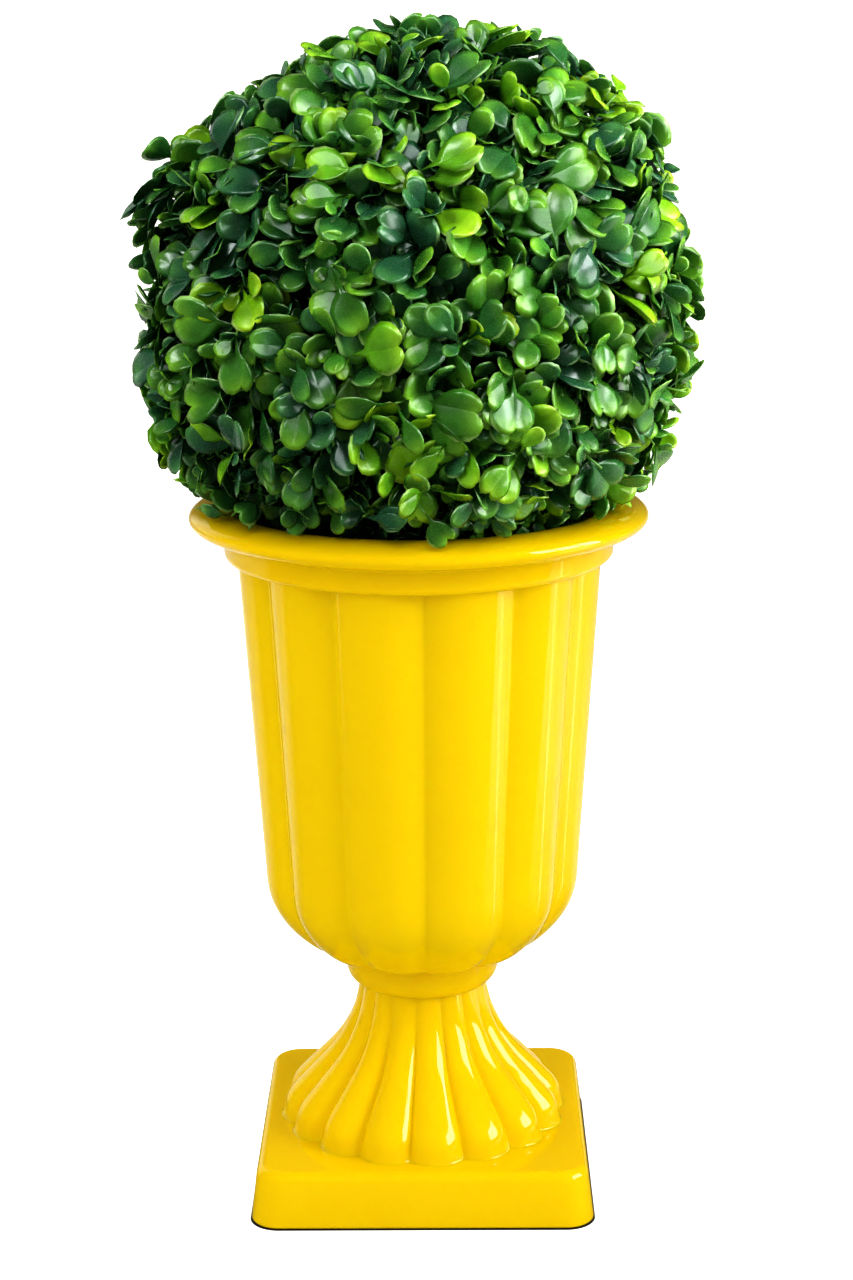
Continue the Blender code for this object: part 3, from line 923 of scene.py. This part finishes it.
# %% [markdown]
# ## Growing the sprays
# Every spray is a twig that springs from the core and carries crossed pairs of leaves,
# as box does. The lower pair spreads wide and the top pair stands up. Some sprays are
# open and lie flat, some are closed and stand up, and these spring from deeper down, so
# that their tips come to the same height. An undergrowth of short sprays fills the depth
# between them. No leaf may reach beyond the clipped outline, and where one would cut
# through a leaf that is already there, it is turned a little, and left out if that
# doesn't help.

# %% Sprays
SEED = 11
LAYERS = (                      # sprays, how far inside the outline, leaf size, shaded
    (290, (0.000, 0.012), 1.28, False),
    (360, (0.012, 0.026), 1.12, False),
    (430, (0.024, 0.035), 0.95, True))
GAP_SPRAYS = 3200
GAP_LAYER = ((0.030, 0.038), 0.90, True)
SPRAY_SWAY = 0.10
TWIG_LEAN = 0.75                # how far a twig may lean from straight outwards
PAIR_STEP = (0.0090, 0.0150)    # between one pair of leaves and the next
LEAN_TOP = (28.0, 68.0)         # degrees between a leaf and its twig, at the top
LEAN_LOW = (52.0, 88.0)
STAND_LEAN = 28.0               # how much steeper the leaves of a closed spray stand
STAND_DROP = 0.018              # how much deeper a closed spray springs
LEAF_SIZE = (0.76, 1.18)
LOW_SIZE = 0.76                 # the leaves near the lip are that much smaller
LOW_FROM = -0.25                # where they begin, as a share of straight down
LOW_OVER = 0.40
TRIES = 8
TRY_LEAN = 3.0                  # degrees that a leaf leans further at each new try
TRY_SWING = 0.35
LEAF_ROLL = 0.55
BLADE_REACH = 0.9               # share of its half width within which a blade may cut
CUT_DEPTH = 0.0006
TWIG_BOW = 0.007
TWIG_FREE = 0.004               # the end of a twig that its own leaves spring from
TWIG_ROOT = CORE_RADIUS - 0.002
SHORTEST = 0.001                # a twig with less than this left bears no further pair
PAIR_TURN = 0.3
STAND_OUT = (-0.001, 0.006)     # how far a leaf may pass the clipped outline
KIND_WEIGHTS = (("heart", 0.25), ("spoon", 0.28), ("mitten", 0.15), ("notched", 0.14),
                ("paddle", 0.11), ("bud", 0.07))
BLADE_SAMPLES = ((0.0, 0.68), (0.0, 0.98), (-0.9, 0.68), (0.9, 0.68), (-0.7, 0.90),
                 (0.7, 0.90), (-0.5, 0.45), (0.5, 0.45), (0.0, 0.25))
CELL = 0.03


class LeafField:
    """Leaves already grown, filed by place, to keep a new one from cutting through."""

    def __init__(self):
        self.cells = {}

    def key(self, point):
        return tuple(int(math.floor(value / CELL)) for value in point)

    def near(self, point):
        x, y, z = self.key(point)
        for a in (x - 1, x, x + 1):
            for b in (y - 1, y, y + 1):
                for c in (z - 1, z, z + 1):
                    yield from self.cells.get((a, b, c), ())

    def add(self, middle, normal, radius, samples):
        self.cells.setdefault(self.key(middle), []).append(
            (np.array(middle), np.array(normal), radius, np.array(samples)))

    def cuts(self, middle, normal, radius, samples):
        """How many leaves the new leaf cuts through, or is cut by."""
        found = list(self.near(middle))
        if not found:
            return 0
        places, normals, radii, others = [np.array(column) for column in zip(*found)]
        cutting = both_sides(np.array(samples)[None, :, :] - places[:, None, :],
                             normals[:, None, :], radii[:, None])
        cut = both_sides(others - np.array(middle), np.array(normal), radius)
        return int((cutting | cut).sum())


def both_sides(away, normals, radii):
    """Which leaves have sample points above and below a blade, within its reach."""
    height = (away * normals).sum(2)
    flat = np.sqrt(np.maximum((away ** 2).sum(2) - height ** 2, 0.0))
    inside = flat < radii
    above = (inside & (height > CUT_DEPTH)).any(1)
    below = (inside & (height < -CUT_DEPTH)).any(1)
    return above & below


def by_weight(left, weights):
    """The name in whose share of the weights the value left falls."""
    for name, weight in weights:
        left -= weight
        if left < 0.0:
            break
    return name


def square_to(axis, angle):
    """A direction square to axis, turned about it."""
    side = axis.orthogonal().normalized()
    side.rotate(Matrix.Rotation(angle, 3, axis))
    return side


def leaf_frame(out, away, lean, roll):
    """Rotation whose Y runs along the leaf and whose Z is its upper face."""
    along = (out * math.cos(lean) + away * math.sin(lean)).normalized()
    face = (out * math.sin(lean) - away * math.cos(lean)).normalized()
    face.rotate(Matrix.Rotation(roll, 3, along))
    side = along.cross(face).normalized()
    return Matrix((side, along, face)).transposed()


def blade_points(root, turn, kind, size):
    length = (kind["tip"] + kind["stalk"]) * MM * size
    side = kind["side"] * MM * size
    return [root + turn @ Vector((x * side, y * length, 0.0)) for x, y in BLADE_SAMPLES]


def has_room(point, extra):
    away = point - BALL_MIDDLE
    return clear_of_urn(point) and away.length < ball_reach(away) + extra


def place_leaf(draw, field, root, out, away, steep, level, scale, name=None):
    """A leaf at root, or None where there is no room for it."""
    name = name or by_weight(draw.random(), KIND_WEIGHTS)
    kind = LEAF_KINDS[name]
    height = (root - BALL_MIDDLE).normalized().z
    low_down = min(max(LOW_FROM - height, 0.0) / LOW_OVER, 1.0)
    size = draw.uniform(*LEAF_SIZE) * scale * (1.0 + (LOW_SIZE - 1.0) * low_down)
    low, high = [a + (b - a) * level for a, b in zip(LEAN_TOP, LEAN_LOW)]
    extra = draw.uniform(*STAND_OUT)
    reach = kind["side"] * MM * size * BLADE_REACH
    for attempt in range(TRIES):
        lean = math.radians(draw.uniform(low, high) - steep + TRY_LEAN * attempt)
        swing = away.copy()
        swing.rotate(Matrix.Rotation(
            draw.uniform(-TRY_SWING, TRY_SWING) * (1 + attempt), 3, out))
        turn = leaf_frame(out, swing, lean, draw.uniform(-LEAF_ROLL, LEAF_ROLL))
        points = blade_points(root, turn, kind, size)
        if not all(has_room(point, extra) for point in points):
            continue
        if field.cuts(points[0], turn.col[2], reach, points) > (attempt == TRIES - 1):
            continue
        field.add(points[0], turn.col[2], reach, points)
        return {"kind": (name, draw.randrange(len(LEAF_SHAPES))), "root": root,
                "turn": turn, "size": size}
    return None


def grow_spray(draw, field, direction, short, size, shade):
    """The path of one twig and the leaves on it."""
    sway = Vector([draw.uniform(-1.0, 1.0) for _ in range(3)])
    out = (direction + sway * SPRAY_SWAY).normalized()
    closed = 0.0 if shade else draw.random()
    depth = ball_reach(out) - draw.uniform(*short) - STAND_DROP * closed
    depth = max(depth, CORE_RADIUS + TWIG_FREE)
    side = square_to(out, draw.uniform(0.0, math.tau))
    along = (out + side * draw.uniform(0.0, TWIG_LEAN)).normalized()
    length = (depth - TWIG_ROOT) / along.dot(out)
    bow = along.cross(side).normalized() * draw.uniform(-TWIG_BOW, TWIG_BOW)
    foot = BALL_MIDDLE + out * depth - along * length

    def on_twig(distance):
        return foot + along * distance + bow * math.sin(math.pi * distance / length)

    path = [on_twig(length * step / 4.0) for step in range(5)]
    if not all(clear_of_urn(point) for point in path[2:]):
        return None, []
    end = max(length - TWIG_FREE, 0.0)
    stops = [on_twig(end * step / 8.0) for step in range(9)]
    leaves = []
    distance = length
    first = draw.uniform(0.0, math.pi)
    for pair in range(2):
        turn = first + math.pi / 2.0 * pair + draw.uniform(-PAIR_TURN, PAIR_TURN)
        for half in range(2):
            leaves.append(place_leaf(
                draw, field, on_twig(distance), along, square_to(along, turn + math.pi * half),
                STAND_LEAN * closed, float(pair), size))
        distance -= draw.uniform(*PAIR_STEP)
        if distance < SHORTEST:
            break
    if draw.random() < 0.5:
        away = along.orthogonal().normalized()
        leaves.append(place_leaf(draw, field, path[-1], along, away, 0.0, 0.0, 1.0, "bud"))
    field.add(stops[4], along, 0.0, stops)
    return path, [leaf for leaf in leaves if leaf]


def leaf_cover(leaf):
    """The direction in which a leaf lies, and the cosine of the angle it hides."""
    kind = LEAF_KINDS[leaf["kind"][0]]
    middle = leaf["root"] + leaf["turn"] @ Vector((0.0, kind["stalk"] * MM, 0.0))
    away = middle - BALL_MIDDLE
    facing = abs(leaf["turn"].col[2].dot(away.normalized()))
    hidden = kind["side"] * MM * leaf["size"] * facing / away.length
    return (*away.normalized(), math.cos(hidden))


draw = random.Random(SEED)
field = LeafField()
sprays = []


def add_spray(direction, *layer):
    path, leaves = grow_spray(draw, field, direction, *layer)
    if path:
        sprays.append({"out": direction, "path": path, "leaves": leaves,
                       "shade": layer[-1]})
    return leaves


for count, *layer in LAYERS:
    for direction in spread_directions(count):
        add_spray(direction, *layer)

# Where the core still shows, a short spray is added.
cover = np.array([leaf_cover(leaf) for spray in sprays for leaf in spray["leaves"]])
for direction in spread_directions(GAP_SPRAYS):
    if (cover[:, :3] @ np.array(direction) > cover[:, 3]).any():
        continue
    leaves = add_spray(direction, *GAP_LAYER)
    if leaves:
        cover = np.vstack([cover, [leaf_cover(leaf) for leaf in leaves]])
print("sprays", len(sprays), "leaves", sum(len(spray["leaves"]) for spray in sprays))

# %% [markdown]
# ## Green plastic
# Leaves of one spray come out of one mould and have one colour. Five greens are dealt out
# by spray, in loose patches. As painted light the lit right side is dealt the fresher ones,
# and as painted shade the undergrowth has the darker ones. On each leaf the plain colour
# pales towards the tip, and along the right edge it pales further: partly the rim's own
# paler plastic, partly a painted highlight where the rim catches the light. The map named
# blade gives those places: it is the flat map of the circle that a leaf starts as, so its
# first value runs across the leaf from left to right and its second from stalk to tip.

# %% Leaf finishes
GREENS = {                      # the colour of the blade and that of its tip
    "deep": ((0.028, 0.108, 0.050), (0.090, 0.260, 0.075)),
    "bottle": ((0.036, 0.140, 0.036), (0.150, 0.370, 0.050)),
    "box": ((0.060, 0.200, 0.026), (0.240, 0.500, 0.040)),
    "fresh": ((0.130, 0.340, 0.018), (0.390, 0.660, 0.040)),
    "lime": ((0.210, 0.440, 0.014), (0.480, 0.720, 0.040)),
}
EDGE_PALE_AND_HIGHLIGHT = (0.50, 0.74, 0.36, 1.0)


def make_leaf_finish(name):
    material, tree, shader = new_material(name + "_leaf")
    blade = tree.nodes.new("ShaderNodeUVMap")
    blade.uv_map = "blade"
    place = split_axes(tree, blade.outputs["UV"])
    body, light = [(*colour, 1.0) for colour in GREENS[name]]
    # Along the right edge the colour pales: partly the rim's own paler plastic, partly a
    # painted highlight where the rim catches the light.
    rim_pale_and_highlight = tuple((value + other) / 2.0 for value, other in zip(light, EDGE_PALE_AND_HIGHLIGHT))
    along = ramp(tree, place["Y"], body, light, 0.45, 1.0)
    edge = ramp(tree, place["X"], grey(0.0), grey(0.85), 0.905, 0.955)
    mottle = ramp(tree, object_noise(tree, Scale=55.0, Detail=3.0), grey(0.68), grey(1.25),
                  0.30, 0.70)
    grain = object_noise(tree, Scale=900.0, Detail=2.0)
    feed(shader, IOR=1.50, Subsurface_Weight=0.15, Subsurface_Scale=0.0016,
         Subsurface_Radius=(0.5, 1.0, 0.15), Normal=bump(tree, grain, 0.05, 0.0004),
         Base_Color=mix_colours(tree, 1.0, mix_colours(tree, edge, along, rim_pale_and_highlight), mottle,
                                "MULTIPLY"),
         Roughness=ramp(tree, grain, grey(0.20), grey(0.30), 0.3, 0.7))
    return material


def join_copies(name, leaves):
    """One mesh with a copy of its template for every leaf."""
    copies = [leaf_templates[leaf["kind"]] for leaf in leaves]

    def all_of(key, counted=None):
        """One array for all copies, whose numbers run on from copy to copy."""
        rows, before = [], 0
        for copy in copies:
            rows.append(copy[key] + before if counted else copy[key])
            before += len(copy[counted or key])
        return np.concatenate(rows)

    points = np.concatenate([
        copy["points"] @ (np.array(leaf["turn"]) * leaf["size"]).T + np.array(leaf["root"])
        for copy, leaf in zip(copies, leaves)])
    corners = all_of("corners", "points").astype(np.int32)
    starts = all_of("starts", "corners").astype(np.int32)
    mesh = bpy.data.meshes.new(name)
    mesh.vertices.add(len(points))
    mesh.vertices.foreach_set("co", points.astype(np.float32).ravel())
    mesh.loops.add(len(corners))
    mesh.loops.foreach_set("vertex_index", corners)
    mesh.polygons.add(len(starts))
    mesh.polygons.foreach_set("loop_start", starts)
    mesh.update(calc_edges=True)
    layer = mesh.uv_layers.new(name="blade")
    layer.data.foreach_set("uv", all_of("uv").astype(np.float32).ravel())
    mesh.shade_smooth()
    ends = np.empty(2 * len(mesh.edges), dtype=np.int32)
    mesh.edges.foreach_get("vertices", ends)
    ends = ends.reshape(-1, 2)
    crisp = all_of("edge")[ends].all(1) | all_of("groove")[ends].all(1)
    mesh.attributes.new("sharp_edge", "BOOLEAN", "EDGE")
    mesh.attributes["sharp_edge"].data.foreach_set("value", crisp)
    return new_object(name, mesh)


# %% Deal the greens out
DEAL = (("deep", 0.24), ("bottle", 0.26), ("box", 0.26), ("fresh", 0.18), ("lime", 0.06))
PATCH = 7.0                     # how fine the loose patches of colour are
PATCH_PULL = 0.45
# Painted light: the lit right side is dealt the fresher greens.
PAINTED_LIGHT_SIDE_PULL = 0.12                # how much fresher the right side is
TOP_PULL = 0.02                 # how much duller the top is
# Painted shade: the undergrowth deep in the ball is dealt the darker greens.
PAINTED_SHADE_PULL = 0.35               # how far the undergrowth is pulled to the darker greens
CHANCE = 0.75                   # share of the greens that chance alone can reach
PIECE_LEAVES = 1800             # leaves in one piece; a green with more has several


def deal_green(draw, spray):
    """A green for one spray: chance, pulled one way or the other by its patch."""
    pull = noise.noise(spray["out"] * PATCH) * PATCH_PULL
    # Painted light and shade: fresher greens to the lit right side, darker ones to the
    # undergrowth.
    pull += PAINTED_LIGHT_SIDE_PULL * spray["out"].x - TOP_PULL * spray["out"].z
    if spray["shade"]:
        pull -= PAINTED_SHADE_PULL
    left = draw.random() * CHANCE + (1.0 - CHANCE) / 2.0 + pull
    return by_weight(min(max(left, 0.0), 0.999), DEAL)


dealt = {name: [] for name, weight in DEAL}
for spray in sprays:
    dealt[deal_green(draw, spray)] += spray["leaves"]
for name, leaves in dealt.items():
    finish = make_leaf_finish(name)
    for first in range(0, len(leaves), PIECE_LEAVES):
        title = "%s_leaves_%d" % (name, 1 + first // PIECE_LEAVES)
        piece = join_copies(title, leaves[first:first + PIECE_LEAVES])
        settle(piece, title, finish, "foliage_ball")
        leaf_light.objects.link(piece)

# %% [markdown]
# ## The twigs
# A twig is a thin green stalk with four sides that tapers to its end. One tube is enough
# for all: a square ring is carried along each path.

# %% Twigs
TWIG_RADIUS = (0.0013, 0.0008)
TWIG_SIDES = 4

points, faces = [], []
for spray in sprays:
    path = spray["path"]
    along = (path[-1] - path[0]).normalized()
    side = along.orthogonal().normalized()
    up = along.cross(side)
    first = len(points)
    for step, middle in enumerate(path):
        share = step / (len(path) - 1.0)
        radius = TWIG_RADIUS[0] + (TWIG_RADIUS[1] - TWIG_RADIUS[0]) * share
        for corner in range(TWIG_SIDES):
            angle = math.tau * corner / TWIG_SIDES
            points.append(middle + (side * math.cos(angle) + up * math.sin(angle)) * radius)
    last = len(points) - TWIG_SIDES
    for ring in range(first, last, TWIG_SIDES):
        for corner in range(TWIG_SIDES):
            a = ring + corner
            b = ring + (corner + 1) % TWIG_SIDES
            faces.append((a, b, b + TWIG_SIDES, a + TWIG_SIDES))
    faces.append(range(last, last + TWIG_SIDES))
    faces.append(range(first + TWIG_SIDES - 1, first - 1, -1))
mesh = bpy.data.meshes.new("twigs")
mesh.from_pydata(points, [], faces)
mesh.shade_smooth()
twigs = new_object("twigs", mesh)
settle(twigs, "twigs", make_matt("twig_green", (0.060, 0.200, 0.030), (0.220, 0.480, 0.060),
                                 0.4, Scale=140.0, Detail=3.0), "foliage_ball")
leaf_light.objects.link(twigs)
